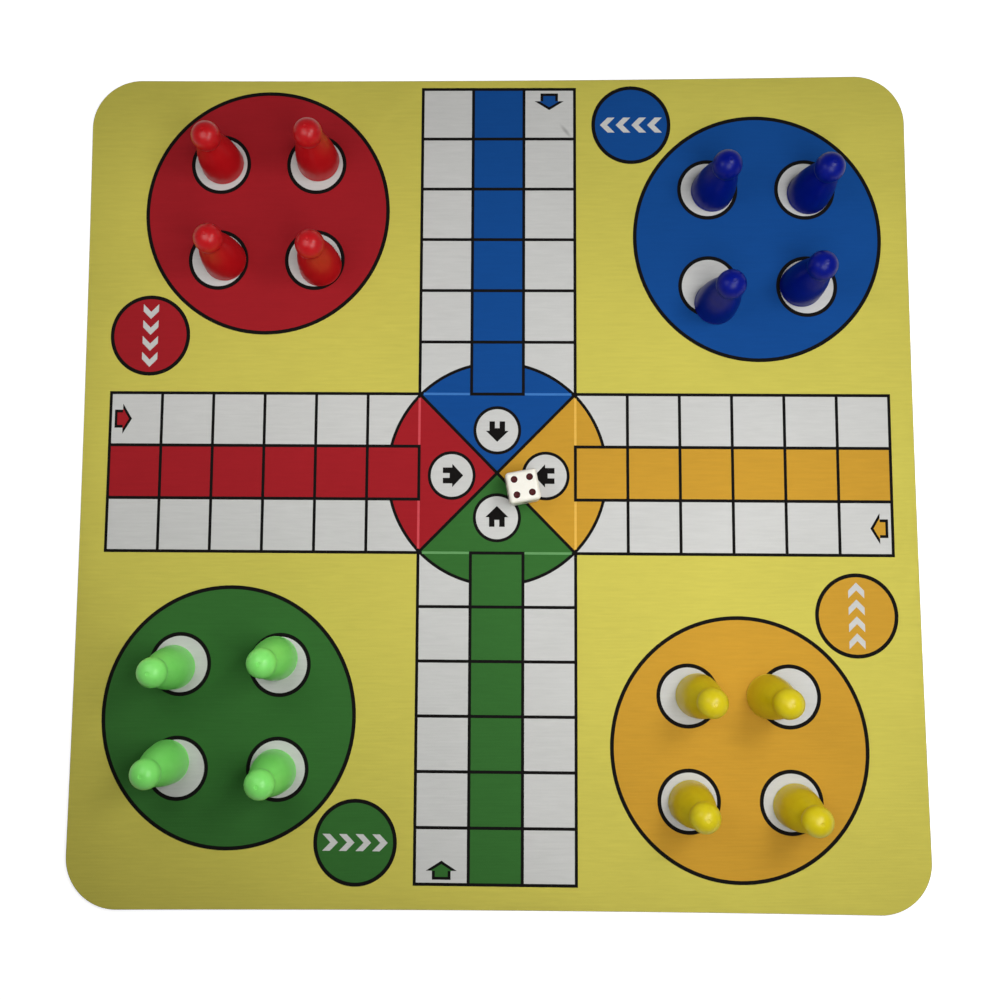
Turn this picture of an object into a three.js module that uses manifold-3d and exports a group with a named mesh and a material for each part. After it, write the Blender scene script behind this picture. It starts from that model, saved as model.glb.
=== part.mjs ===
// Ludo play mat with its sixteen pawns and a die, in millimetres.
// Origin: centre of the mat's underside. +X to the right of the board, +Y to its top, +Z up.
import * as THREE from "three";
import { mergeVertices } from "three/addons/utils/BufferGeometryUtils.js";
import { RoundedBoxGeometry } from "three/addons/geometries/RoundedBoxGeometry.js";
import Module from "manifold-3d";

const wasm = await Module();
wasm.setup();

// Mat: a cloth playing face bonded to a soft rubber sheet, both cut to one outline
const MAT_SIDE = 300;
const MAT_CORNER_R = 18;
const RUBBER_T = 2;
const CLOTH_T = 0.4;
const MAT_CORNER_STEPS = 8;

// Printed field: the border of bare cloth on each side of it, and the square cells it is ruled in
const PRINT_LEFT = 10.4;
const PRINT_RIGHT = 9.4;
const PRINT_TOP = 4.2;
const PRINT_BOTTOM = 9.3;
const CELLS_EACH_WAY = 15;
// The print lies a little askew on the mat
const PRINT_TURN_DEG = -0.28;

// Yards: each colour's four round spots, in shares of a printed cell from the field's centre
const YARD_NEAR_SHARE = 4.54;
const YARD_FAR_SHARE = 5.04;
const SPOT_SHARE = 0.947;

// Pawn: one moulding, a round head on a bell-shaped skirt that is hollow from below
const PAWN_HEIGHT = 28;
const PAWN_BASE_D = 15.5;
const PAWN_RIM_H = 1;
const PAWN_RIM_EDGE_R = 0.3;
const PAWN_LIP = 0.25;
const PAWN_SHOULDER_D = 10.1;
const PAWN_SHOULDER_H = 17;
const PAWN_SKIRT_BULGE = 1.15;
const PAWN_NECK_D = 7.8;
const PAWN_HEAD_D = 10.2;
const PAWN_WALL = 1.3;
const PAWN_SIDES = 16;

// Die: a rounded cube with a round dimple for each pip
const DIE_SIDE = 11;
const DIE_EDGE_R = 1.3;
const DIE_EDGE_STEPS = 2;
const DIE_TURN_DEG = 10.4;
const PIP_D = 2.4;
const PIP_DEPTH = 0.5;
const PIP_PITCH = 2.72;
const PIP_SIDES = 12;
const PIP_CUT_OVERRUN = 0.5;
// Where the die lies, in shares of a printed cell from the field's centre
const DIE_PLACE_SHARES = [0.478, -0.296];

// How far each pawn stands off the middle of its spot, in shares of the pawn's base diameter.
// The order is far left, far right, near left, near right.
const STAND_SHARES = {
  red: [[0.04, 0.01], [0.04, 0.08], [0.16, -0.01], [0.14, -0.14]],
  blue: [[0.11, -0.04], [0.08, -0.1], [0.155, -0.415], [-0.13, 0.01]],
  green: [[-0.15, -0.07], [-0.09, 0.15], [-0.22, 0.14], [-0.07, -0.05]],
  yellow: [[0.22, 0.01], [-0.465, 0.01], [0.03, -0.02], [0.08, -0.07]],
};
// Which way each yard lies from the field's centre: its column, its row, and whether it is the
// column that takes the larger distance
const YARDS = {
  red: { column: -1, row: 1, wide: false },
  blue: { column: 1, row: 1, wide: true },
  green: { column: -1, row: -1, wide: true },
  yellow: { column: 1, row: -1, wide: false },
};
const SPOTS = [[-1, 1], [1, 1], [-1, -1], [1, -1]];

// Finishes
const FINISHES = {
  rubber: { color: 0x1e1e20, roughness: 0.9, metalness: 0 },
  cloth: { color: 0xd0c658, roughness: 0.85, metalness: 0 },
  red: { color: 0xc1121a, roughness: 0.25, metalness: 0 },
  blue: { color: 0x041286, roughness: 0.25, metalness: 0 },
  green: { color: 0x85ee6f, roughness: 0.25, metalness: 0 },
  yellow: { color: 0xdacb17, roughness: 0.25, metalness: 0 },
  ivory: { color: 0xf4f0e5, roughness: 0.3, metalness: 0 },
};

const MAT_T = RUBBER_T + CLOTH_T;
const CELL_W = (MAT_SIDE - PRINT_LEFT - PRINT_RIGHT) / CELLS_EACH_WAY;
const CELL_H = (MAT_SIDE - PRINT_TOP - PRINT_BOTTOM) / CELLS_EACH_WAY;
const FIELD_CENTRE = new THREE.Vector2((PRINT_LEFT - PRINT_RIGHT) / 2, (PRINT_BOTTOM - PRINT_TOP) / 2);

// A point of the printed field, given in cells from its centre, as a place on the mat
function onPrint(columns, rows) {
  const place = new THREE.Vector2(columns * CELL_W, rows * CELL_H);
  place.rotateAround(new THREE.Vector2(), THREE.MathUtils.degToRad(PRINT_TURN_DEG));
  return place.add(FIELD_CENTRE);
}

function piece(name, geometry, finish) {
  const mesh = new THREE.Mesh(geometry, new THREE.MeshStandardMaterial(FINISHES[finish]));
  mesh.name = name;
  return mesh;
}

// One layer of the mat: a square sheet with round corners, lying on z = 0
function matSheet(thickness) {
  const half = MAT_SIDE / 2;
  const corner = Math.min(MAT_CORNER_R, half);
  const inner = half - corner;
  const outline = new THREE.Shape();
  outline.moveTo(half, -inner);
  outline.absarc(inner, inner, corner, 0, Math.PI / 2);
  outline.absarc(-inner, inner, corner, Math.PI / 2, Math.PI);
  outline.absarc(-inner, -inner, corner, Math.PI, 1.5 * Math.PI);
  outline.absarc(inner, -inner, corner, 1.5 * Math.PI, 2 * Math.PI);
  return new THREE.ExtrudeGeometry(outline, {
    depth: thickness,
    bevelEnabled: false,
    curveSegments: MAT_CORNER_STEPS,
  });
}

function mat() {
  const rubber = piece("mat_rubber_base", matSheet(RUBBER_T), "rubber");
  const cloth = piece("mat_cloth_face", matSheet(CLOTH_T), "cloth");
  cloth.position.z = RUBBER_T;
  return [rubber, cloth];
}

// The inside of the pawn, from the top of the hollow on the axis down to the rim
function hollowProfile() {
  const mouthR = PAWN_BASE_D / 2 - PAWN_WALL;
  const roofR = PAWN_SHOULDER_D / 2 - PAWN_WALL;
  const roofH = PAWN_SHOULDER_H;
  const domeH = roofH - roofR;
  const inside = new THREE.Path();
  inside.moveTo(0, roofH);
  inside.quadraticCurveTo(roofR, roofH, roofR, domeH);
  inside.lineTo(mouthR, 0);
  return inside.getPoints(3);
}

// The outside of the pawn, from the rim up over the skirt, shoulder, neck and head to the axis
function outsideProfile() {
  const baseR = PAWN_BASE_D / 2;
  const skirtR = baseR - PAWN_LIP;
  const skirtH = PAWN_RIM_H + PAWN_LIP;
  const shoulderR = PAWN_SHOULDER_D / 2;
  const neckR = PAWN_NECK_D / 2;
  const headR = PAWN_HEAD_D / 2;
  const headH = PAWN_HEIGHT - headR;
  const neckAngle = -Math.acos(neckR / headR);
  const neckH = headH + headR * Math.sin(neckAngle);
  const bulgeR = (skirtR + shoulderR) / 2 + PAWN_SKIRT_BULGE;
  const skirt = new THREE.Path();
  skirt.moveTo(baseR - PAWN_RIM_EDGE_R, 0);
  skirt.lineTo(baseR, PAWN_RIM_EDGE_R);
  skirt.lineTo(baseR, PAWN_RIM_H);
  skirt.lineTo(skirtR, skirtH);
  skirt.quadraticCurveTo(bulgeR, (skirtH + PAWN_SHOULDER_H) / 2, shoulderR, PAWN_SHOULDER_H);
  skirt.lineTo(neckR, neckH);
  const head = new THREE.EllipseCurve(0, headH, headR, headR, neckAngle, Math.PI / 2);
  const crown = head.getPoints(7).slice(1);
  crown[crown.length - 1].x = 0;
  return [...skirt.getPoints(3), ...crown];
}

// Pawn standing on z = 0 about the vertical axis
function pawnBody() {
  const body = new THREE.LatheGeometry([...hollowProfile(), ...outsideProfile()], PAWN_SIDES);
  return body.rotateX(Math.PI / 2);
}

function pawns(colour) {
  const { column, row, wide } = YARDS[colour];
  const across = column * (wide ? YARD_FAR_SHARE : YARD_NEAR_SHARE);
  const along = row * (wide ? YARD_NEAR_SHARE : YARD_FAR_SHARE);
  return SPOTS.map(([right, up], index) => {
    const spot = onPrint(across + right * SPOT_SHARE, along + up * SPOT_SHARE);
    const [offX, offY] = STAND_SHARES[colour][index];
    const pawn = piece(`${colour}_pawn_${index + 1}`, pawnBody(), colour);
    pawn.position.set(spot.x + offX * PAWN_BASE_D, spot.y + offY * PAWN_BASE_D, MAT_T);
    return pawn;
  });
}

function solidOf(geometry) {
  const bare = geometry.clone();
  bare.deleteAttribute("normal");
  bare.deleteAttribute("uv");
  const merged = mergeVertices(bare);
  return new wasm.Manifold(new wasm.Mesh({
    numProp: 3,
    vertProperties: new Float32Array(merged.attributes.position.array),
    triVerts: new Uint32Array(merged.index.array),
  }));
}

function geometryOf(solid) {
  const mesh = solid.getMesh();
  const geometry = new THREE.BufferGeometry();
  geometry.setAttribute("position", new THREE.BufferAttribute(mesh.vertProperties, mesh.numProp));
  geometry.setIndex(new THREE.BufferAttribute(mesh.triVerts, 1));
  geometry.computeVertexNormals();
  return geometry;
}

// The cutter of one pip: a shallow bowl below z = 0 with a straight collar above it
function pipCutter() {
  const bowl = new THREE.Path();
  bowl.moveTo(0, -PIP_DEPTH);
  bowl.quadraticCurveTo(PIP_D / 4, -PIP_DEPTH, PIP_D / 2, 0);
  bowl.lineTo(PIP_D / 2, PIP_CUT_OVERRUN);
  bowl.lineTo(0, PIP_CUT_OVERRUN);
  return new THREE.LatheGeometry(bowl.getPoints(3), PIP_SIDES).rotateX(Math.PI / 2);
}

// Where the pips of each number lie on a face, in pip pitches from its middle
const PIP_CORNERS = [[-1, -1], [1, 1], [-1, 1], [1, -1]];
const PIP_PLACES = {
  1: [[0, 0]],
  2: PIP_CORNERS.slice(0, 2),
  3: [[0, 0], ...PIP_CORNERS.slice(0, 2)],
  4: PIP_CORNERS,
  5: [[0, 0], ...PIP_CORNERS],
  6: [...PIP_CORNERS, [-1, 0], [1, 0]],
};
// The turn that brings each number's face from the top to its side of the die
const FACE_TURNS = {
  4: [0, 0],
  3: [Math.PI, 0],
  1: [Math.PI / 2, 0],
  6: [-Math.PI / 2, 0],
  2: [0, Math.PI / 2],
  5: [0, -Math.PI / 2],
};

// Die about its own middle, four up. Opposite faces add up to seven.
function dieBody() {
  let die = solidOf(new RoundedBoxGeometry(DIE_SIDE, DIE_SIDE, DIE_SIDE, DIE_EDGE_STEPS, DIE_EDGE_R));
  for (const [number, [aboutX, aboutY]] of Object.entries(FACE_TURNS)) {
    for (const [right, up] of PIP_PLACES[number]) {
      const cutter = pipCutter();
      cutter.translate(right * PIP_PITCH, up * PIP_PITCH, DIE_SIDE / 2);
      cutter.rotateX(aboutX).rotateY(aboutY);
      die = die.subtract(solidOf(cutter));
    }
  }
  return geometryOf(die);
}

function die() {
  const mesh = piece("die", dieBody(), "ivory");
  const place = onPrint(...DIE_PLACE_SHARES);
  mesh.position.set(place.x, place.y, MAT_T + DIE_SIDE / 2);
  mesh.rotation.z = THREE.MathUtils.degToRad(DIE_TURN_DEG);
  return mesh;
}

const game = new THREE.Group();
game.add(...mat(), ...Object.keys(YARDS).flatMap(pawns), die());

export default game;
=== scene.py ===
"""Ludo play mat: a soft printed mat, sixteen pawns standing in its yards, and a die.

The mat is a dye-printed polyester cloth bonded to sheet rubber and lies flat. Lengths are in metres.
"""

import logging
from collections.abc import Callable, Iterable, Sequence
from dataclasses import dataclass, field
from enum import Enum
from functools import partial
from math import acos, asin, cos, degrees, pi, radians, sin, sqrt, tau

import bmesh
import bpy
from bpy.types import ID, Material, Mesh, Node, NodeSocket, NodeTree, Object
from mathutils import Euler, Matrix, Vector
from mathutils.geometry import delaunay_2d_cdt


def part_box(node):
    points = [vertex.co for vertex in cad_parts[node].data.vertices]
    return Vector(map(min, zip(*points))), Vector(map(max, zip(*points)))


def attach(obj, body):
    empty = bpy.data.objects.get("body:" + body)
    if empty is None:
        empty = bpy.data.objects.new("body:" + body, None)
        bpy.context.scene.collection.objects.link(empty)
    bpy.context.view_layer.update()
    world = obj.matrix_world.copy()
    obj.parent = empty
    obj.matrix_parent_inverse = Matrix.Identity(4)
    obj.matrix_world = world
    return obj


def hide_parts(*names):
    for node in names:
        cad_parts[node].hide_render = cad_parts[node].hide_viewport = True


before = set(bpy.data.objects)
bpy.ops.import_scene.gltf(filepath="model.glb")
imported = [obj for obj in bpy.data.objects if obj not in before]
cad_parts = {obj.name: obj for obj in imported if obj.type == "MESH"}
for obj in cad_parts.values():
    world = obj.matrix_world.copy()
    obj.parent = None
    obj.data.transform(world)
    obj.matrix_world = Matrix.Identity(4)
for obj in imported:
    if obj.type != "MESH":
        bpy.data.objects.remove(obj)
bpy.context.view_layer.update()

MM = 0.001
# Points of a mesh that are no further apart than this are one point
TOUCHING = 0.001 * MM
log = logging.getLogger("ludo_mat")

Point = tuple[float, float]
Place = tuple[float, float, float]
Colour = tuple[float, float, float, float]
AddNode = Callable[..., Node]
BLACK: Colour = (0.0, 0.0, 0.0, 1.0)


def linear(hex_colour: str, paler: float = 0.0) -> Colour:
    """Turn an sRGB hex colour into linear light.

    Args:
        hex_colour: Six hex digits after a #.
        paler: The share that each channel first gains of what their mean lacks of white.

    Returns:
        Red, green and blue, and an alpha of 1.
    """
    channels = [int(hex_colour[at:at + 2], 16) for at in (1, 3, 5)]
    rise = paler * (255 - sum(channels) / 3)
    shares = (min(255, round(channel + rise)) / 255 for channel in channels)
    red, green, blue = (s / 12.92 if s <= 0.04045 else ((s + 0.055) / 1.055) ** 2.4 for s in shares)
    return red, green, blue, 1.0


def blend(start: Sequence[float], end: Sequence[float], share: float) -> tuple[float, ...]:
    """Go a share of the way from one colour or point to another."""
    return tuple(a + (b - a) * share for a, b in zip(start, end))


def add_node(tree: NodeTree, kind: str, links: dict | None = None, **settings: object) -> Node:
    """Add one node to a tree, with its settings and what goes into it.

    Args:
        tree: The shader or geometry tree.
        kind: Blender's own name for the kind of node, but for a leading ShaderNode or GeometryNode.
        links: What each input takes, by its name or number: a socket, a node that stands for the
            first output it uses, a plain value, or a list for an input that joins several.
        settings: Properties of the node, by name.

    Returns:
        The new node.
    """
    names = (f"ShaderNode{kind}", f"GeometryNode{kind}", kind)
    node = tree.nodes.new(next(name for name in names if hasattr(bpy.types, name)))
    for name, value in settings.items():
        setattr(node, name, value)
    for key, given in (links or {}).items():
        for value in given if isinstance(given, list) else [given]:
            if isinstance(value, Node):
                value = next(output for output in value.outputs if output.enabled)
            if isinstance(value, NodeSocket):
                tree.links.new(value, node.inputs[key])
            else:
                node.inputs[key].default_value = value
    return node


# Finishes


class Finish:
    """What a piece's surface is made of, named for the material and how it was made."""

    title: str

    def surface(self, add: AddNode, place: NodeSocket) -> Node:
        """Lay out the surface's nodes.

        Args:
            add: Adds a node to the material's tree.
            place: The piece's own coordinates.

        Returns:
            The node that gives the surface.
        """
        raise NotImplementedError

    def material(self) -> Material:
        """Make the finish's material.

        Returns:
            A new material with this surface.
        """
        made = bpy.data.materials.new(self.title)
        made.use_nodes = True
        made.node_tree.nodes.clear()
        add = partial(add_node, made.node_tree)
        add("OutputMaterial", {"Surface": self.surface(add, add("TexCoord").outputs["Object"])})
        return made


@dataclass(frozen=True)
class PrintedCloth(Finish):
    """Polyester jersey, heat-transfer printed.

    The dye sinks into a fine matt knit, so the print has no gloss of its own, and the knit's courses
    show as faint level streaks. The mesh's "ink" attribute says which dye each patch has.
    """

    title: str = "polyester_jersey_transfer_printed"
    roughness: float = 0.82
    ior: float = 1.5
    specular: float = 0.1
    # A real knit has a stitch about every 0.35 mm, too fine to show, so it is drawn twice as coarse
    wale: float = 0.7 * MM
    course: float = 0.5 * MM
    leg_slope: float = 1.1
    stitch_height: float = 0.05 * MM
    stitch_relief: float = 0.6
    hollow_tone: float = 0.98
    crown_tone: float = 1.045
    streak_length: float = 11 * MM
    streak_width: float = 1.1 * MM
    streak_strength: float = 0.07
    cloud_size: float = 60 * MM
    uneven_low: float = 0.6
    uneven_high: float = 1.4
    scuff_place: Point = (25.9 * MM, 129.6 * MM)
    scuff_length: float = 6.5 * MM
    scuff_width: float = 1.6 * MM
    scuff_turn_deg: float = -52
    scuff_fade: float = 1.3
    scuff_tone: float = 0.62

    def surface(self, add: AddNode, place: NodeSocket) -> Node:
        """Lay out the dyed knit's nodes."""
        ink = add("Attribute", attribute_name="ink")
        # Streaks of fuller and thinner stitches along the courses
        course = add("Mapping", {
            "Vector": place, "Scale": (1 / self.streak_length, 1 / self.streak_width, 1)})
        streaks = add("TexNoise", {
            "Vector": course, "Scale": 1.0, "Detail": 3.0, "Roughness": 0.6, "Distortion": 0.5})
        # Broad clouds where the transfer took up a little more or less dye
        clouds = add("TexNoise", {"Vector": place, "Scale": 1 / self.cloud_size, "Detail": 2.0})
        uneven = add("Math", {0: streaks, 1: clouds}, operation="ADD")
        tone = add("MapRange", {
            "Value": uneven, "From Min": self.uneven_low, "From Max": self.uneven_high,
            "To Min": 1 - self.streak_strength, "To Max": 1 + self.streak_strength})
        # Stitches of the knit: each column of them is folded in two, and a leg slants up either half
        loops = add("Mapping", {"Vector": place, "Scale": (1 / self.wale, tau / self.course, 1)})
        axes = add("SeparateXYZ", {0: loops})
        fold = add("Math", {0: axes.outputs["X"], 1: 0.5}, operation="PINGPONG")
        across_leg = add("Math", {0: fold, 1: tau}, operation="MULTIPLY")
        leg = add("Math", {0: across_leg}, operation="SINE")
        slant = add("Math", {0: across_leg, 1: self.leg_slope, 2: axes.outputs["Y"]},
                    operation="MULTIPLY_ADD")
        swing = add("Math", {0: slant}, operation="SINE")
        along_leg = add("Math", {0: swing, 1: 0.5, 2: 0.5}, operation="MULTIPLY_ADD")
        knit = add("Math", {0: leg, 1: along_leg}, operation="MULTIPLY")
        # The hollows between stitches hold a little less light than their crowns
        crown = add("MapRange", {"Value": knit, "To Min": self.hollow_tone, "To Max": self.crown_tone})
        # One rub mark near a corner of the track
        rub = add("Mapping", {
            "Vector": place, "Location": (*self.scuff_place, 0.0),
            "Rotation": (0, 0, radians(self.scuff_turn_deg)),
            "Scale": (self.scuff_length / 2, self.scuff_width / 2, 1)}, vector_type="TEXTURE")
        flat_rub = add("VectorMath", {0: rub, 1: (1, 1, 0)}, operation="MULTIPLY")
        from_rub = add("VectorMath", {0: flat_rub}, operation="LENGTH")
        worn = add("MapRange", {
            "Value": from_rub, "From Max": self.scuff_fade, "To Min": self.scuff_tone},
            interpolation_type="SMOOTHSTEP")
        dyed = ink
        for level in (tone, crown, worn):
            dyed = add("VectorMath", {0: dyed, "Scale": level}, operation="SCALE")
        relief = add("Bump", {
            "Height": knit, "Distance": self.stitch_height, "Strength": self.stitch_relief})
        return add("BsdfPrincipled", {
            "Base Color": dyed, "Roughness": self.roughness, "IOR": self.ior,
            "Specular IOR Level": self.specular, "Normal": relief})


@dataclass(frozen=True)
class SheetRubber(Finish):
    """Foamed natural rubber sheet, pressed against a textured belt.

    It is matt charcoal black, with a fine even grain from the belt and a paler dusty bloom.
    """

    title: str = "natural_rubber_sheet_belt_pressed"
    black: str = "#232426"
    bloom: str = "#3A3B3C"
    roughness: float = 0.88
    ior: float = 1.52
    grain: float = 1.1 * MM
    grain_depth: float = 0.12 * MM
    grain_relief: float = 0.8
    bloom_size: float = 35 * MM

    def surface(self, add: AddNode, place: NodeSocket) -> Node:
        """Lay out the rubber's nodes."""
        cells = add("TexVoronoi", {
            "Vector": place, "Scale": 1 / self.grain, "Smoothness": 0.4}, feature="SMOOTH_F1")
        dust = add("TexNoise", {
            "Vector": place, "Scale": 1 / self.bloom_size, "Detail": 4.0, "Roughness": 0.6})
        colour = add("Mix", {
            "Factor": dust, "A": linear(self.black), "B": linear(self.bloom)}, data_type="RGBA")
        relief = add("Bump", {
            "Height": cells, "Distance": self.grain_depth, "Strength": self.grain_relief})
        return add("BsdfPrincipled", {
            "Base Color": colour, "Roughness": self.roughness, "IOR": self.ior,
            "Normal": relief})


@dataclass(frozen=True)
class MouldedPlastic(Finish):
    """Polypropylene, injection moulded in one colour.

    The mould leaves a satin gloss, light spreads a little way into the colour, and the pigment's
    flow leaves very faint swirls.
    """

    name: str
    colour: str
    deep: str
    roughness: float = 0.32
    # Handling dulls the gloss in soft patches
    glossier: float = 0.03
    duller: float = 0.05
    ior: float = 1.49
    specular: float = 0.4
    scatter: float = 0.12
    scatter_depth: float = 0.8 * MM
    swirl_size: float = 6 * MM
    # Most of the swirls' noise lies between these
    swirl_low: float = 0.3
    swirl_high: float = 0.7
    ripple_size: float = 4 * MM
    ripple_height: float = 0.004 * MM
    ripple_relief: float = 0.5

    @property
    def title(self) -> str:
        """The material's name."""
        return f"polypropylene_{self.name}_injection_moulded"

    def surface(self, add: AddNode, place: NodeSocket) -> Node:
        """Lay out the plastic's nodes."""
        swirl = add("TexNoise", {
            "Vector": place, "Scale": 1 / self.swirl_size, "Detail": 2.0, "Distortion": 1.2})
        colour = add("Mix", {
            "Factor": swirl, "A": linear(self.deep), "B": linear(self.colour)}, data_type="RGBA")
        gloss = add("MapRange", {
            "Value": swirl, "From Min": self.swirl_low, "From Max": self.swirl_high,
            "To Min": self.roughness - self.glossier, "To Max": self.roughness + self.duller})
        shrink = add("TexNoise", {"Vector": place, "Scale": 1 / self.ripple_size, "Detail": 1.0})
        relief = add("Bump", {
            "Height": shrink, "Distance": self.ripple_height, "Strength": self.ripple_relief})
        return add("BsdfPrincipled", {
            "Base Color": colour, "Roughness": gloss, "IOR": self.ior,
            "Specular IOR Level": self.specular, "Subsurface Weight": self.scatter,
            "Subsurface Scale": self.scatter_depth, "Subsurface Radius": (1.0, 1.0, 1.0),
            "Normal": relief})


@dataclass(frozen=True)
class PipPaint(Finish):
    """Enamel dropped into a die's drilled dimples.

    It dries with a satin skin and a little uneven, a shade darker in patches.
    """

    title: str
    colour: str
    roughness: float = 0.5
    ior: float = 1.5
    specular: float = 0.25
    patch_size: float = 0.8 * MM
    patch_darker: float = 0.35

    def surface(self, add: AddNode, place: NodeSocket) -> Node:
        """Lay out the enamel's nodes."""
        patch = add("TexNoise", {"Vector": place, "Scale": 1 / self.patch_size, "Detail": 1.0})
        full = linear(self.colour)
        colour = add("Mix", {
            "Factor": patch, "A": blend(full, BLACK, self.patch_darker), "B": full}, data_type="RGBA")
        return add("BsdfPrincipled", {
            "Base Color": colour, "Roughness": self.roughness, "IOR": self.ior,
            "Specular IOR Level": self.specular})


@dataclass(frozen=True)
class FloorPaint(Finish):
    """Emulsion paint, rolled on a studio's floor.

    It is matt, pale and faintly mottled. It shows white to the camera but keeps its shadows, and
    satin plastic mirrors it a little duller than it is seen.
    """

    title: str = "painted_studio_floor"
    colour: str = "#E6E6E6"
    mottle_size: float = 25 * MM
    mottle_darker: float = 0.03
    glow: float = 0.75
    glow_far: float = 1.0
    glow_mirrored: float = 0.4
    # The glow starts to grow this far from the middle, past the mat's own shadow
    near: float = 0.2
    far: float = 0.5

    def surface(self, add: AddNode, place: NodeSocket) -> Node:
        """Lay out the floor's nodes."""
        mottle = add("TexNoise", {"Vector": place, "Scale": 1 / self.mottle_size})
        pale = linear(self.colour)
        colour = add("Mix", {
            "Factor": mottle, "A": blend(pale, BLACK, self.mottle_darker), "B": pale}, data_type="RGBA")
        matt = add("BsdfDiffuse", {"Color": colour})
        ray = add("LightPath").outputs
        seen = add("Math", {0: ray["Is Glossy Ray"], 1: self.glow_mirrored, 2: ray["Is Camera Ray"]},
                   operation="MULTIPLY_ADD", use_clamp=True)
        seen_through = add("Math", {0: seen, 1: ray["Is Transmission Ray"]}, operation="ADD",
                           use_clamp=True)
        away = add("VectorMath", {0: place}, operation="LENGTH")
        level = add("MapRange", {
            "Value": away, "From Min": self.near, "From Max": self.far,
            "To Min": self.glow, "To Max": self.glow_far}, interpolation_type="SMOOTHSTEP")
        strength = add("Math", {0: seen_through, 1: level}, operation="MULTIPLY")
        glow = add("Emission", {"Strength": strength})
        return add("AddShader", {0: matt, 1: glow})


class Ink(Enum):
    """The print's dyes, and the raw edge where the cloth is cut."""

    GROUND = "#D0C658"
    PLAIN = "#CFCFCC"
    LINE = "#12100F"
    BLUE = "#104B93"
    ORANGE = "#CC9A32"
    GREEN = "#366D30"
    RED = "#A41E26"
    CUT_EDGE = "#A9A58C"


class Team(Enum):
    """The four players, clockwise from the top: the dye of each arm and yard, and the pawns' colour."""

    BLUE = (Ink.BLUE, MouldedPlastic("blue", "#00148A", "#000E76", specular=0.22))
    YELLOW = (Ink.ORANGE, MouldedPlastic("yellow", "#DCCC18", "#CCB70E"))
    GREEN = (Ink.GREEN, MouldedPlastic("green", "#94F87E", "#82EC6C"))
    RED = (Ink.RED, MouldedPlastic("red", "#C8161E", "#BA0C14"))

    def __init__(self, ink: Ink, plastic: MouldedPlastic) -> None:
        """Keep the dye of this player's part of the print, and what the pawns are moulded in."""
        self.ink, self.plastic = ink, plastic


# Helpers for meshes


def turned(points: Iterable[Point], quarters: int) -> list[Point]:
    """Turn points clockwise about zero by quarter turns."""
    for _ in range(quarters):
        points = [(y, -x) for x, y in points]
    return list(points)


def moved(points: Iterable[Point], place: Point, shares: Point = (1, 1)) -> list[Point]:
    """Points that are scaled by a share across and a share along, and then moved to a place."""
    return [(place[0] + x * shares[0], place[1] + y * shares[1]) for x, y in points]


def bar(left: float, low: float, right: float, high: float) -> list[Point]:
    """The corners of a rectangular patch."""
    return [(left, low), (right, low), (right, high), (left, high)]


def arc(centre: Point, radius: float, start_deg: float, end_deg: float, steps: int) -> list[Point]:
    """Points on a circular arc, both ends included."""
    turns = (radians(start_deg + (end_deg - start_deg) * step / steps) for step in range(steps + 1))
    return [(centre[0] + radius * cos(t), centre[1] + radius * sin(t)) for t in turns]


def sweep(start: Point, pull: Point, end: Point, steps: int) -> list[Point]:
    """Points on a curve that leaves start towards pull and comes into end from it."""
    shares = (step / steps for step in range(steps + 1))
    return [blend(blend(start, pull, share), blend(pull, end, share), share) for share in shares]


def mesh_from(name: str, points: Sequence[Sequence[float]], edges: Sequence = (),
              faces: Sequence = ()) -> Mesh:
    """Make a mesh.

    Args:
        name: The mesh's name.
        points: Where its corners lie.
        edges: Pairs of corners, for a mesh without faces.
        faces: Rings of corners.

    Returns:
        The new mesh.
    """
    mesh = bpy.data.meshes.new(name)
    mesh.from_pydata([Vector(p) for p in points], edges, faces)
    mesh.update()
    return mesh


def place_piece(name: str, data: ID) -> Object:
    """Put a mesh, a lamp or a camera into the scene.

    Args:
        name: The object's name.
        data: What the object shows.

    Returns:
        The object, at the origin.
    """
    piece = bpy.data.objects.new(name, data)
    bpy.context.scene.collection.objects.link(piece)
    return piece


def clean(mesh: Mesh, crease_deg: float, merge: bool = True) -> None:
    """Turn a closed mesh's faces out and shade it smooth but for its creases.

    Args:
        mesh: The mesh, changed in place.
        crease_deg: Faces that meet at more than this angle keep a crisp edge between them.
        merge: Whether its doubles are merged first.
    """
    work = bmesh.new()
    work.from_mesh(mesh)
    if merge:
        bmesh.ops.remove_doubles(work, verts=work.verts, dist=TOUCHING)
        bmesh.ops.dissolve_degenerate(work, edges=work.edges, dist=TOUCHING / 2)
    bmesh.ops.recalc_face_normals(work, faces=work.faces)
    work.to_mesh(mesh)
    work.free()
    mesh.shade_smooth()
    mesh.set_sharp_from_angle(angle=radians(crease_deg))


def drop_empty_slots(mesh: Mesh) -> None:
    """Leave a mesh only the material slots that hold a material.

    Args:
        mesh: The mesh, changed in place.
    """
    finishes = [mesh.materials[face.material_index] for face in mesh.polygons]
    kept = [finish for finish in mesh.materials if finish]
    mesh.materials.clear()
    for finish in kept:
        mesh.materials.append(finish)
    for face, finish in zip(mesh.polygons, finishes):
        face.material_index = kept.index(finish)


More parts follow.
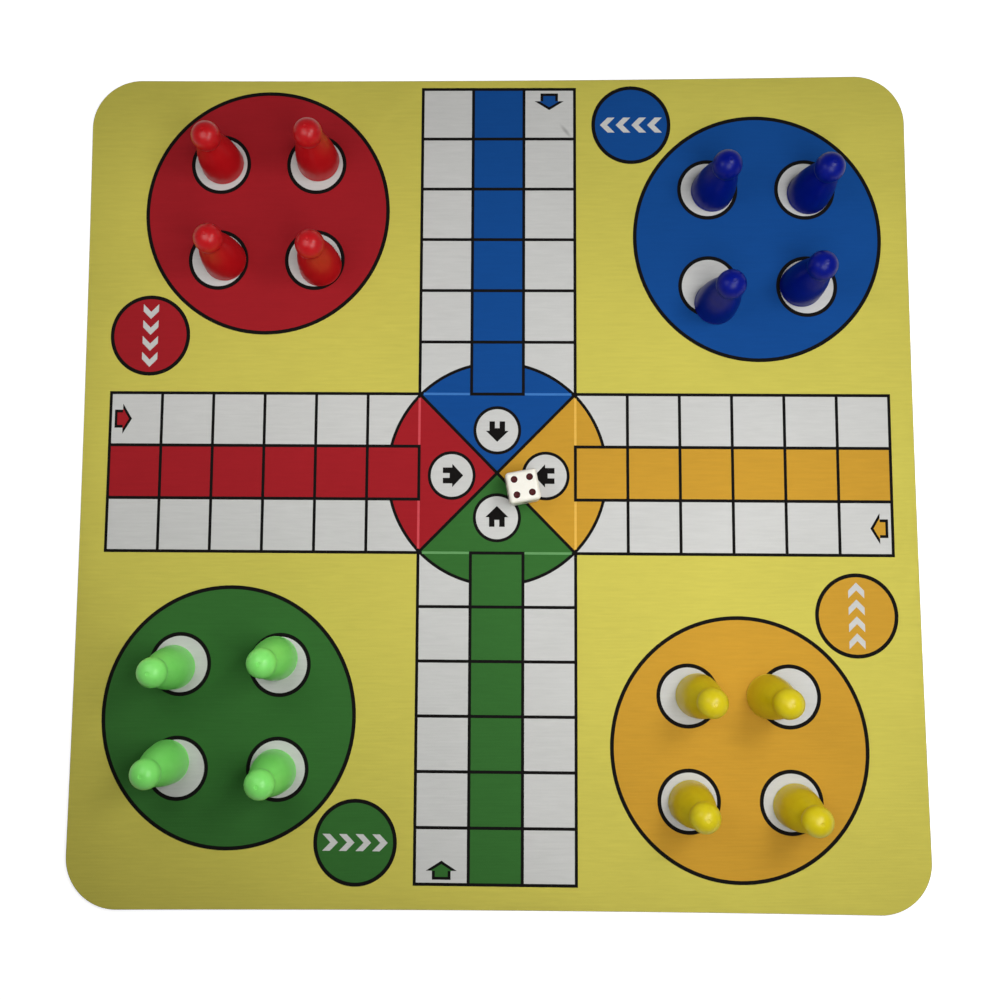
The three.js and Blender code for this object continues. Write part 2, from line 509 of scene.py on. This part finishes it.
class GeometryRecipe:
    """A Geometry Nodes tree with named inputs, and the way to run it on a host mesh."""

    def __init__(self, name: str, inputs: dict[str, str]) -> None:
        """Start a tree.

        Args:
            name: The tree's name.
            inputs: Each named input and its kind of socket, after the geometry itself.
        """
        self.tree = bpy.data.node_groups.new(name, "GeometryNodeTree")
        for title, kind in {"Geometry": "Geometry", **inputs}.items():
            self.tree.interface.new_socket(title, in_out="INPUT", socket_type=f"NodeSocket{kind}")
        self.tree.interface.new_socket("Geometry", in_out="OUTPUT", socket_type="NodeSocketGeometry")
        self.add = partial(add_node, self.tree)
        self.source = self.add("NodeGroupInput").outputs

    def end(self, geometry: Node, finish: NodeSocket | None = None) -> None:
        """Make the tree's instances real and close it with them.

        Args:
            geometry: The node that ends the shape.
            finish: The material that all of it gets, unless its parts have theirs.
        """
        last = self.add("RealizeInstances", {"Geometry": geometry})
        if finish:
            last = self.add("SetMaterial", {"Geometry": last, "Material": finish})
        self.add("NodeGroupOutput", {"Geometry": last})

    def run(self, name: str, host: Mesh, values: dict) -> Object:
        """Run the tree once and keep what it makes as a plain mesh.

        Args:
            name: The piece's name.
            host: The mesh that goes into the tree.
            values: The value of each named input.

        Returns:
            The piece, with no modifier left on it.
        """
        piece = place_piece(name, host)
        modifier = piece.modifiers.new(self.tree.name, "NODES")
        modifier.node_group = self.tree
        for item in self.tree.interface.items_tree:
            if item.in_out == "INPUT" and item.name in values:
                modifier[item.identifier] = values[item.name]
        evaluated = piece.evaluated_get(bpy.context.evaluated_depsgraph_get())
        result = bpy.data.meshes.new_from_object(evaluated)
        drop_empty_slots(result)
        piece.modifiers.clear()
        piece.data = result
        bpy.data.meshes.remove(host)
        result.name = name
        return piece


def hand_over(piece: Object, node: str, body: str) -> None:
    """Give a finished piece its place in the frame.

    Args:
        piece: The finished piece.
        node: The CAD node that it stands for.
        body: The CAD body that it rides on.
    """
    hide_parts(node)
    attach(piece, body)
    log.info("%s stands for %s: %d faces", piece.name, node, len(piece.data.polygons))


# The print


@dataclass(frozen=True)
class Patch:
    """One inked patch: its outline in printed cells, and its colour."""

    outline: list[Point]
    colour: Colour


@dataclass
class FieldPrint:
    """The ludo field, drawn in printed cells from its middle, each patch over those before it.

    A player's quarter is drawn as the top player's: the arm runs up, the yard lies to its right.
    """

    line: float = 0.058
    ring: float = 0.072
    disc_steps: int = 64
    arm_half: float = 1.5
    column_half: float = 0.5
    arm_end: float = 7.5
    hub_radius: float = 2.096
    hub_steps: int = 32
    crease: float = 0.045
    crease_paler: float = 0.27
    home_radius: float = 0.46
    home_line: float = 0.058
    # The home discs are printed a little off their triangles' middles
    home_places: tuple[Point, ...] = ((0.0, 0.81), (0.05, 0.93), (0.0, 0.84), (-0.05, 0.87))
    house: tuple[Point, ...] = ((-0.15, 0.17), (-0.15, -0.01), (-0.22, -0.01), (0.0, -0.22),
                                (0.22, -0.01), (0.15, -0.01), (0.15, 0.17))
    house_door: tuple[Point, ...] = ((-0.045, 0.04), (0.045, 0.04), (0.045, 0.17), (-0.045, 0.17))
    yard_place: Point = (5.04, 4.54)
    yard_radius: float = 2.408
    spot_offset: float = 0.947
    spot_radius: float = 0.589
    start_place: Point = (2.61, 6.78)
    start_radius: float = 0.78
    chevrons: int = 4
    chevrons_length: float = 1.22
    chevron_half: float = 0.15
    chevron_thickness: float = 0.14
    arrow_place: Point = (1.0, 7.26)
    arrow_outline: tuple[Point, ...] = ((-0.165, 0.15), (-0.165, 0.0), (-0.275, 0.0), (0.0, -0.17),
                                        (0.275, 0.0), (0.165, 0.0), (0.165, 0.15))
    arrow_black_shares: Point = (1.05, 1.05)
    arrow_dyed_shares: Point = (0.72, 0.7)
    patches: list[Patch] = field(default_factory=list)
    # The quarter that is being drawn
    quarters: int = 0
    team: Team = Team.BLUE

    def lay(self, outline: Iterable[Point], ink: Ink, pale: float = 0.0) -> None:
        """Lay one patch of dye in the quarter that is being drawn."""
        self.patches.append(Patch(turned(outline, self.quarters), linear(ink.value, pale)))

    def disc(self, centre: Point, radius: float, ink: Ink, finer: int = 1) -> None:
        """Lay a round patch, with the usual number of sides times finer."""
        self.lay(arc(centre, radius, 0, 360, finer * self.disc_steps)[:-1], ink)

    def ringed_disc(self, centre: Point, radius: float, ring: float, ink: Ink, finer: int = 1) -> None:
        """Lay a disc with a black ring inside its radius."""
        self.disc(centre, radius, Ink.LINE, finer)
        self.disc(centre, radius - ring, ink, finer)

    def arm(self) -> None:
        """Lay the arm's six rows of three cells, black between them."""
        edge = self.line / 2
        self.lay(bar(-self.arm_half - edge, self.arm_half - edge, self.arm_half + edge,
                     self.arm_end + edge), Ink.LINE)
        for row in range(round(self.arm_end - self.arm_half)):
            low = self.arm_half + row
            for left, dye in ((-self.arm_half, Ink.PLAIN), (-self.column_half, self.team.ink),
                              (self.column_half, Ink.PLAIN)):
                self.lay(bar(left + edge, low + edge, left + 1 - edge, low + 1 - edge), dye)

    def hub_quarter(self) -> None:
        """Lay one quarter of the round hub, cut off by the two diagonals."""
        edge = self.line / 2
        radius = self.hub_radius - edge
        gap_deg = degrees(asin(edge / radius))
        rim = arc((0, 0), radius, 45 + gap_deg, 135 - gap_deg, self.hub_steps)
        self.lay([(0.0, edge * sqrt(2)), *rim], self.team.ink)
        reach = sqrt(radius**2 - self.arm_half**2)
        low, high = self.arm_half - self.crease / 2, self.arm_half + self.crease / 2
        for left, right in ((-reach, -self.column_half), (self.column_half, reach)):
            self.lay(bar(left, low, right, high), self.team.ink, self.crease_paler)

    def inner_cell(self) -> None:
        """Lay the column's last cell, which runs over the hub's rim to the middle square."""
        edge = self.line / 2
        low, half = self.arm_half, self.column_half
        self.lay(bar(-half - edge, low - edge, half + edge, low + 1 + edge), Ink.LINE)
        self.lay(bar(-half + edge, low + edge, half - edge, low + 1 - edge), self.team.ink)

    def home(self) -> None:
        """Lay the home disc with a small house, its roof towards the middle of the board."""
        centre = self.home_places[self.quarters]
        self.ringed_disc(centre, self.home_radius, self.home_line, Ink.PLAIN)
        self.lay(moved(self.house, centre), Ink.LINE)
        self.lay(moved(self.house_door, centre), Ink.PLAIN)

    def yard(self) -> None:
        """Lay the round yard with its four white spots."""
        self.ringed_disc(self.yard_place, self.yard_radius, self.ring, self.team.ink, finer=2)
        ways = [(right, up) for right in (-1, 1) for up in (-1, 1)]
        for spot in moved(ways, self.yard_place, (self.spot_offset, self.spot_offset)):
            self.ringed_disc(spot, self.spot_radius, self.ring, Ink.PLAIN)

    def start(self) -> None:
        """Lay the start disc, with a row of chevrons that point to the arm's outer end."""
        self.ringed_disc(self.start_place, self.start_radius, self.ring, self.team.ink)
        half, thick = self.chevron_half, self.chevron_thickness
        chevron = [(0.0, 0.0), (half, -half), (half + thick, -half), (thick, 0.0),
                   (half + thick, half), (half, half)]
        pitch = (self.chevrons_length - half - thick) / (self.chevrons - 1)
        for index in range(self.chevrons):
            tip = self.start_place[0] - self.chevrons_length / 2 + index * pitch
            self.lay(moved(chevron, (tip, self.start_place[1])), Ink.PLAIN)

    def arrow(self) -> None:
        """Lay the small arrow that points down the arm, black round its dye."""
        for shares, dye in ((self.arrow_black_shares, Ink.LINE),
                            (self.arrow_dyed_shares, self.team.ink)):
            self.lay(moved(self.arrow_outline, self.arrow_place, shares), dye)

    def draw(self) -> list[Patch]:
        """Draw all four quarters.

        Returns:
            The patches, from the bottom one up.
        """
        half = self.arm_half
        self.lay(bar(-half, -half, half, half), Ink.LINE)
        for self.quarters, self.team in enumerate(Team):
            self.arm()
            self.arrow()
            self.yard()
            self.start()
        self.disc((0, 0), self.hub_radius + self.line / 2, Ink.LINE, finer=2)
        for self.quarters, self.team in enumerate(Team):
            self.hub_quarter()
            self.inner_cell()
            self.home()
        return self.patches


# The mat


@dataclass
class PlayMat:
    """The mat: printed cloth bonded to sheet rubber, both die-cut to one outline."""

    corner_radius: float = 18 * MM
    # Soft sheet relaxes after it is cut, so its sides draw in a little between the corners
    side_bow: float = 0.7 * MM
    corner_steps: int = 24
    side_steps: int = 24
    edge_round: float = 0.25 * MM
    edge_steps: int = 3
    # The dye ends within the first step of the rounding
    edge_raw_share: float = 0.5
    cloth_crease_deg: float = 32
    rubber_crease_deg: float = 40
    print_left: float = 10.4 * MM
    print_right: float = 9.4 * MM
    print_top: float = 4.2 * MM
    print_bottom: float = 9.3 * MM
    cells_each_way: int = 15
    print_turn_deg: float = -0.28
    # The print is cut in millimetres, to this tolerance
    cut_tolerance: float = 1e-5
    cloth_finish: PrintedCloth = PrintedCloth()
    rubber_finish: SheetRubber = SheetRubber()

    def __post_init__(self) -> None:
        """Read the mat's side and its layers' heights from the frame."""
        low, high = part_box("mat_cloth_face")
        self.side = high.x - low.x
        self.cloth_low, self.cloth_top = low.z, high.z
        self.rubber_low, self.rubber_top = (corner.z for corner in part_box("mat_rubber_base"))

    def cut_line(self, inset: float = 0.0) -> list[Point]:
        """The mat's outline, anticlockwise, or a line that lies inside it.

        Args:
            inset: How far inside the outline the line runs.

        Returns:
            As many points for every inset, so that two lines can be joined point to point.
        """
        half = self.side / 2
        middle = half - self.corner_radius
        corner = arc((middle, middle), self.corner_radius - inset, 0, 90, self.corner_steps)
        line = []
        for quarters in range(4, 0, -1):
            bend = turned(corner, quarters)
            start, end = bend[-1], turned(corner, quarters - 1)[0]
            line += bend
            line += (blend(start, end, step / self.side_steps) for step in range(1, self.side_steps))

        def drawn_in(along: float) -> float:
            """The share that a side keeps at this place along it."""
            return 1 - self.side_bow / half * max(0.0, 1 - (along / middle) ** 2)

        return [(x * drawn_in(y), y * drawn_in(x)) for x, y in line]

    def on_print(self, point: Point) -> Point:
        """Where a point of the print lies on the mat.

        Args:
            point: The point, in printed cells from the print's middle.

        Returns:
            The place, in metres from the mat's middle.
        """
        across = point[0] * (self.side - self.print_left - self.print_right) / self.cells_each_way
        along = point[1] * (self.side - self.print_top - self.print_bottom) / self.cells_each_way
        turn = radians(self.print_turn_deg)
        return (across * cos(turn) - along * sin(turn) + (self.print_left - self.print_right) / 2,
                across * sin(turn) + along * cos(turn) + (self.print_bottom - self.print_top) / 2)

    def cloth(self) -> Object:
        """Make the cloth: its face is cut along the print's outlines, so each patch keeps a crisp edge.

        Returns:
            The cloth, dyed.
        """
        rim = self.cut_line(self.edge_round)
        patches = FieldPrint().draw()
        points, rings = list(rim), [list(range(len(rim)))]
        for patch in patches:
            first = len(points)
            points += [self.on_print(point) for point in patch.outline]
            rings.append(list(range(first, len(points))))
        flat_points, _, faces, from_points, _, from_rings = delaunay_2d_cdt(
            [Vector(p) / MM for p in points], [], rings, 1, self.cut_tolerance)
        ground, raw = linear(Ink.GROUND.value), linear(Ink.CUT_EDGE.value)
        colours = [ground, *(patch.colour for patch in patches)]
        dyes = [colours[max(owners)] for owners in from_rings]

        corners = [(p.x * MM, p.y * MM, self.cloth_top) for p in flat_points]
        found_at = {origin: at for at, origins in enumerate(from_points) for origin in origins}
        loop = [found_at[origin] for origin in range(len(rim))]
        faces = [list(face) for face in faces]
        for step in range(1, self.edge_steps + 2):
            turn = pi / 2 * min(step / self.edge_steps, 1)
            inset = self.edge_round * (1 - sin(turn))
            last = step > self.edge_steps
            height = self.cloth_low if last else self.cloth_top - self.edge_round * (1 - cos(turn))
            first = len(corners)
            corners += [(*point, height) for point in self.cut_line(inset)]
            lower = list(range(first, len(corners)))
            for here in range(len(loop)):
                there = (here + 1) % len(loop)
                faces.append([loop[here], lower[here], lower[there], loop[there]])
                dyes.append(raw if step > 1 else blend(ground, raw, self.edge_raw_share))
            loop = lower
        faces.append(loop)
        dyes.append(raw)

        mesh = mesh_from("mat_cloth", corners, faces=faces)
        ink = mesh.color_attributes.new("ink", "FLOAT_COLOR", "CORNER")
        for face, dye in zip(mesh.polygons, dyes):
            for corner in face.loop_indices:
                ink.data[corner].color = dye
        clean(mesh, self.cloth_crease_deg, merge=False)
        mesh.materials.append(self.cloth_finish.material())
        piece = place_piece("mat_cloth", mesh)
        # The corners' rounding takes a little off the square
        return piece

    def rubber(self) -> Object:
        """Make the rubber sheet, filled and thickened from the cut line, with its edges just broken.

        Returns:
            The rubber, with its bevel live.
        """
        recipe = GeometryRecipe("sheet_from_cut_line", {"Thickness": "Float", "Finish": "Material"})
        add, source = recipe.add, recipe.source
        curve = add("MeshToCurve", {"Mesh": source["Geometry"]})
        filled = add("FillCurve", {"Curve": curve})
        raised = add("ExtrudeMesh", {
            "Mesh": filled, "Offset Scale": source["Thickness"], "Individual": False}, mode="FACES")
        under = add("FlipFaces", {"Mesh": filled})
        joined = add("JoinGeometry", {0: [raised, under]})
        closed = add("MergeByDistance", {"Geometry": joined, "Distance": TOUCHING})
        recipe.end(closed, source["Finish"])

        line = self.cut_line()
        host = mesh_from("cut_line", [(*point, self.rubber_low) for point in line],
                         edges=[(at, (at + 1) % len(line)) for at in range(len(line))])
        piece = recipe.run("mat_rubber", host, {
            "Thickness": self.rubber_top - self.rubber_low, "Finish": self.rubber_finish.material()})
        clean(piece.data, self.rubber_crease_deg)
        bevel = piece.modifiers.new("broken_edges", "BEVEL")
        bevel.width = self.edge_round
        bevel.segments = self.edge_steps
        bevel.limit_method = "ANGLE"
        return piece

    def build(self) -> None:
        """Make both layers and hand them over."""
        hand_over(self.rubber(), "mat_rubber_base", "mat")
        hand_over(self.cloth(), "mat_cloth_face", "mat")


# The pawns


@dataclass
class PawnSet:
    """The sixteen pawns: one moulding each, a round head on a bell skirt, hollow from below."""

    each: int = 4
    rim_height: float = 1 * MM
    rim_edge: float = 0.3 * MM
    lip: float = 0.1 * MM
    shoulder_radius: float = 5.05 * MM
    shoulder_height: float = 17 * MM
    skirt_bulge: float = 1.15 * MM
    neck_radius: float = 4.2 * MM
    neck_pull: Point = (4.5 * MM, 18.9 * MM)
    head_radius: float = 5.1 * MM
    wall: float = 1.3 * MM
    gate_radius: float = 0.7 * MM
    gate_depth: float = 0.12 * MM
    gate_floor_share: float = 0.8
    seam_height: float = 0.03 * MM
    seam_width: float = 0.35 * MM
    crease_deg: float = 35
    sides: int = 72
    rim_steps: int = 4
    hollow_steps: int = 12
    neck_steps: int = 12
    skirt_steps: int = 24
    head_steps: int = 32
    # The sections are swept round a circle so small that they meet on the axis
    spindle: float = 0.0001 * MM

    def profile(self, base_radius: float, height: float) -> list[Point]:
        """Half the pawn's section as radius and height, from the hollow's top round to the head's top.

        Args:
            base_radius: The radius of the rim that it stands on.
            height: From the rim to the top of the head.

        Returns:
            The section's points, both ends on the axis.
        """
        mouth, roof = base_radius - self.wall, self.shoulder_radius - self.wall
        hollow = [*sweep((0.0, self.shoulder_height), (roof, self.shoulder_height),
                         (roof, self.shoulder_height - roof), self.hollow_steps), (mouth, 0.0)]
        skirt_radius = base_radius - self.lip
        skirt_low = self.rim_height + self.lip
        rim = [*arc((base_radius - self.rim_edge, self.rim_edge), self.rim_edge, -90, 0, self.rim_steps),
               *arc((skirt_radius, self.rim_height), self.lip, 0, 90, self.rim_steps)]
        head_middle = height - self.head_radius
        neck_drop_deg = -degrees(acos(self.neck_radius / self.head_radius))
        neck_height = head_middle + self.head_radius * sin(radians(neck_drop_deg))
        swell = ((skirt_radius + self.shoulder_radius) / 2 + self.skirt_bulge,
                 (skirt_low + self.shoulder_height) / 2)
        shoulder = (self.shoulder_radius, self.shoulder_height)
        skirt = sweep((skirt_radius, skirt_low), swell, shoulder, self.skirt_steps)
        neck = sweep(shoulder, self.neck_pull, (self.neck_radius, neck_height), self.neck_steps)
        gate_deg = degrees(acos(self.gate_radius / self.head_radius))
        head = arc((0.0, head_middle), self.head_radius, neck_drop_deg, gate_deg, self.head_steps)
        floor = head[-1][1] - self.gate_depth
        gate = [(self.gate_radius * self.gate_floor_share, floor), (0.0, floor)]
        return [*hollow, *rim, *skirt[1:], *neck[1:], *head[1:], *gate]

    def recipe(self) -> GeometryRecipe:
        """The tree that turns a section round the pawn's axis and raises the mould's seam on it.

        Returns:
            The tree, with its number of sides and the seam's size as inputs.
        """
        recipe = GeometryRecipe("pawn_moulding", {
            "Sides": "Int", "Spindle": "Float", "Seam Height": "Float", "Seam Width": "Float",
            "Finish": "Material"})
        add, source = recipe.add, recipe.source
        section = add("MeshToCurve", {"Mesh": source["Geometry"]})
        turn = add("CurvePrimitiveCircle", {
            "Resolution": source["Sides"], "Radius": source["Spindle"]}, mode="RADIUS")
        turned_mesh = add("CurveToMesh", {"Curve": turn, "Profile Curve": section})
        closed = add("MergeByDistance", {"Geometry": turned_mesh, "Distance": 2 * TOUCHING})
        # The seam runs up the two sides where the mould's halves meet
        axes = add("SeparateXYZ", {0: add("InputPosition")})
        off_seam = add("Math", {0: axes.outputs["Y"]}, operation="ABSOLUTE")
        rise = add("MapRange", {
            "Value": off_seam, "From Max": source["Seam Width"], "To Min": source["Seam Height"],
            "To Max": 0.0}, interpolation_type="SMOOTHSTEP")
        sideways = add("VectorMath", {0: add("InputNormal"), 1: (1, 1, 0)}, operation="MULTIPLY")
        lift = add("VectorMath", {0: sideways, "Scale": rise}, operation="SCALE")
        seamed = add("SetPosition", {"Geometry": closed, "Offset": lift})
        recipe.end(seamed, source["Finish"])
        return recipe

    def build(self) -> None:
        """Make each team's pawns where the frame has them."""
        recipe = self.recipe()
        for team in Team:
            finish = team.plastic.material()
            colour = team.name.lower()
            for number in range(1, self.each + 1):
                node = f"{colour}_pawn_{number}"
                low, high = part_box(node)
                section = self.profile((high.x - low.x) / 2, high.z - low.z)[::-1]
                # A section's own up is taken downward when it is swept round a circle
                host = mesh_from("pawn_section", [(radius, -level, 0.0) for radius, level in section],
                                 edges=[(at, at + 1) for at in range(len(section) - 1)])
                piece = recipe.run(f"pawn_{colour}_{number}", host, {
                    "Sides": self.sides, "Spindle": self.spindle, "Seam Height": self.seam_height,
                    "Seam Width": self.seam_width, "Finish": finish})
                middle = (low + high) / 2
                piece.data.transform(Matrix.Translation((middle.x, middle.y, low.z)))
                clean(piece.data, self.crease_deg)
                hand_over(piece, node, node)


# The die


@dataclass
class Die:
    """The die: a tumbled cube with round dimples, painted red for one and four and black for the rest."""

    edge_radius: float = 1.3 * MM
    turn_deg: float = 10.4
    pip_radius: float = 1.2 * MM
    pip_depth: float = 0.5 * MM
    pip_pitch: float = 2.72 * MM
    red_numbers: tuple[int, ...] = (1, 4)
    crease_deg: float = 28
    grid: int = 33
    drill_rings: int = 24
    body: MouldedPlastic = MouldedPlastic("ivory", "#F6F3E9", "#F1EDE0", scatter=0.2)
    red: PipPaint = PipPaint("enamel_red_pip_paint", "#4E060C")
    black: PipPaint = PipPaint("enamel_black_pip_paint", "#131316")

    def pips(self, half: float) -> list[tuple[int, Vector]]:
        """Each pip's number and the middle of its dimple on the cube's face.

        Args:
            half: Half the die's side.

        Returns:
            Twenty-one pips, with opposite faces that add up to seven.
        """
        ends = [(-1, -1), (1, 1), (-1, 1), (1, -1)]
        spots = {1: [(0, 0)], 2: ends[:2], 3: [(0, 0), *ends[:2]], 4: ends, 5: [(0, 0), *ends],
                 6: [*ends, (-1, 0), (1, 0)]}
        quarter = pi / 2
        turns = {4: (0, 0), 3: (2 * quarter, 0), 1: (quarter, 0), 6: (-quarter, 0), 2: (0, quarter),
                 5: (0, -quarter)}
        return [(number, Euler((*turns[number], 0)).to_matrix()
                 @ Vector((across * self.pip_pitch, along * self.pip_pitch, half)))
                for number in turns for across, along in spots[number]]

    def recipe(self) -> GeometryRecipe:
        """The tree that rounds a cube and drills a painted dimple at each of the host's points.

        Returns:
            The tree, with the die's sizes and its three finishes as inputs.
        """
        recipe = GeometryRecipe("die_with_pips", {
            "Side": "Float", "Edge Radius": "Float", "Drill Radius": "Float", "Grid": "Int",
            "Body": "Material", "Red Paint": "Material", "Black Paint": "Material"})
        add, source = recipe.add, recipe.source
        size = add("CombineXYZ", {axis: source["Side"] for axis in range(3)})
        cube = add("MeshCube", {
            "Size": size, **{f"Vertices {axis}": source["Grid"] for axis in "XYZ"}})
        # A point near an edge is drawn in to one edge radius from the smaller cube inside
        half = add("Math", {0: source["Side"], 1: 0.5}, operation="MULTIPLY")
        core = add("Math", {0: half, 1: source["Edge Radius"]}, operation="SUBTRACT")
        inner = add("CombineXYZ", {axis: core for axis in range(3)})
        outer = add("VectorMath", {0: inner, "Scale": -1.0}, operation="SCALE")
        spot = add("InputPosition")
        capped = add("VectorMath", {0: spot, 1: inner}, operation="MINIMUM")
        held = add("VectorMath", {0: capped, 1: outer}, operation="MAXIMUM")
        beyond = add("VectorMath", {0: spot, 1: held}, operation="SUBTRACT")
        way = add("VectorMath", {0: beyond}, operation="NORMALIZE")
        reach = add("VectorMath", {0: way, "Scale": source["Edge Radius"]}, operation="SCALE")
        rounded_place = add("VectorMath", {0: held, 1: reach}, operation="ADD")
        rounded = add("SetPosition", {"Geometry": cube, "Position": rounded_place})
        body = add("SetMaterial", {"Geometry": rounded, "Material": source["Body"]})
        ball = add("MeshUVSphere", {
            "Segments": 2 * self.drill_rings, "Rings": self.drill_rings, "Radius": source["Drill Radius"]})
        is_red = add("InputNamedAttribute", {"Name": "red"}, data_type="BOOLEAN")
        is_black = add("FunctionNodeBooleanMath", {0: is_red}, operation="NOT")
        rows = []
        for chosen, paint in ((is_red, "Red Paint"), (is_black, "Black Paint")):
            tip = add("SetMaterial", {"Geometry": ball, "Material": source[paint]})
            rows.append(add("InstanceOnPoints", {
                "Points": source["Geometry"], "Instance": tip, "Selection": chosen}))
        drills = add("JoinGeometry", {0: rows})
        drilled = add("MeshBoolean", {"Mesh 1": body, "Mesh 2": drills},
                      operation="DIFFERENCE", solver="MANIFOLD")
        recipe.end(drilled)
        return recipe

    def build(self) -> None:
        """Make the die where the frame has it."""
        low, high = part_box("die")
        side = high.z - low.z
        drill_radius = (self.pip_radius**2 + self.pip_depth**2) / (2 * self.pip_depth)
        out_of_face = 1 + (drill_radius - self.pip_depth) / (side / 2)
        pips = self.pips(side / 2)
        places = [middle for _, middle in pips]
        for place in places:
            axis = max(range(3), key=lambda at: abs(place[at]))
            place[axis] *= out_of_face
        host = mesh_from("pip_places", places)
        red = host.attributes.new("red", "BOOLEAN", "POINT")
        for index, (number, _) in enumerate(pips):
            red.data[index].value = number in self.red_numbers
        piece = self.recipe().run("die_cube", host, {
            "Side": side, "Edge Radius": self.edge_radius, "Drill Radius": drill_radius, "Grid": self.grid,
            "Body": self.body.material(), "Red Paint": self.red.material(),
            "Black Paint": self.black.material()})
        turn = Matrix.Rotation(radians(self.turn_deg), 4, "Z")
        piece.data.transform(Matrix.Translation((low + high) / 2) @ turn)
        clean(piece.data, self.crease_deg)
        hand_over(piece, "die", "die")


# The studio


@dataclass
class Lamp:
    """One soft overhead lamp: where it hangs, how wide it is and how strongly it shines."""

    name: str
    place: Place
    width: float
    watts: float

    def build(self) -> None:
        """Hang the lamp, facing straight down and out of the camera's sight."""
        light = bpy.data.lights.new(self.name, "AREA")
        light.shape = "DISK"
        light.size = self.width
        light.energy = self.watts
        lamp = place_piece(self.name, light)
        lamp.location = self.place
        lamp.visible_camera = False


@dataclass
class Studio:
    """The pale floor, the soft light and the camera over the mat."""

    floor_half: float = 3.0
    floor_drop: float = 0.05 * MM
    floor_finish: FloorPaint = FloorPaint()
    backdrop_top_deg: float = 30
    backdrop_fade_shares: Point = (0.9, 1.25)
    backdrop: float = 0.18
    ceiling: float = 0.05
    camera_place: Place = (-4.75 * MM, -38.51 * MM, 354.84 * MM)
    camera_turn_deg: tuple[float, float, float] = (5.0858, 0.94, 0.1399)
    camera_lens: float = 35.63
    camera_sensor: float = 36.0
    camera_shift: float = 0.034
    camera_near: float = 1 * MM
    camera_far: float = 50.0
    lamps: tuple[Lamp, ...] = (
        Lamp("key_lamp", (190 * MM, 90 * MM, 330 * MM), 120 * MM, 0.42),
        Lamp("top_lamp", (90 * MM, -70 * MM, 260 * MM), 200 * MM, 0.48),
        Lamp("fill_lamp", (-130 * MM, 50 * MM, 200 * MM), 160 * MM, 0.18),
    )

    def camera(self) -> None:
        """Set the camera where the mat is seen from, close above it."""
        lens = bpy.data.cameras.new("camera")
        lens.lens = self.camera_lens
        lens.sensor_width = self.camera_sensor
        lens.shift_x = self.camera_shift
        lens.clip_start = self.camera_near
        lens.clip_end = self.camera_far
        eye = place_piece("camera", lens)
        eye.location = self.camera_place
        eye.rotation_euler = Euler([radians(turn) for turn in self.camera_turn_deg])
        bpy.context.scene.camera = eye

    def floor(self) -> None:
        """Lay the floor, just under the mat."""
        half = self.floor_half
        mesh = mesh_from("floor", [(x, y, -self.floor_drop) for x, y in bar(-half, -half, half, half)],
                         faces=[(0, 1, 2, 3)])
        mesh.materials.append(self.floor_finish.material())
        place_piece("floor", mesh)

    def room(self) -> None:
        """Light the room: a pale backdrop low down all round, under a dim ceiling.

        Both are white to the camera.
        """
        world = bpy.data.worlds.new("studio")
        bpy.context.scene.world = world
        world.use_nodes = True
        world.node_tree.nodes.clear()
        add = partial(add_node, world.node_tree)
        way = add("TexCoord").outputs["Generated"]
        height = add("SeparateXYZ", {0: way}).outputs["Z"]
        top = sin(radians(self.backdrop_top_deg))
        fade_low, fade_high = (top * share for share in self.backdrop_fade_shares)
        level = add("MapRange", {
            "Value": height, "From Min": fade_low, "From Max": fade_high,
            "To Min": self.backdrop, "To Max": self.ceiling}, interpolation_type="SMOOTHSTEP")
        ray = add("LightPath").outputs
        shown = add("Math", {0: level, 1: ray["Is Camera Ray"]}, operation="MAXIMUM")
        shine = add("Background", {"Color": (1, 1, 1, 1), "Strength": shown})
        add("OutputWorld", {"Surface": shine})

    def build(self) -> None:
        """Set up the camera, the floor, the backdrop and the lamps."""
        bpy.context.scene.view_settings.view_transform = "Standard"
        self.camera()
        self.floor()
        self.room()
        for lamp in self.lamps:
            lamp.build()


def main() -> None:
    """Build the studio, the mat, the pawns and the die."""
    logging.basicConfig(level=logging.INFO, format="%(name)s: %(message)s")
    Studio().build()
    PlayMat().build()
    PawnSet().build()
    Die().build()


if __name__ == "__main__":
    main()
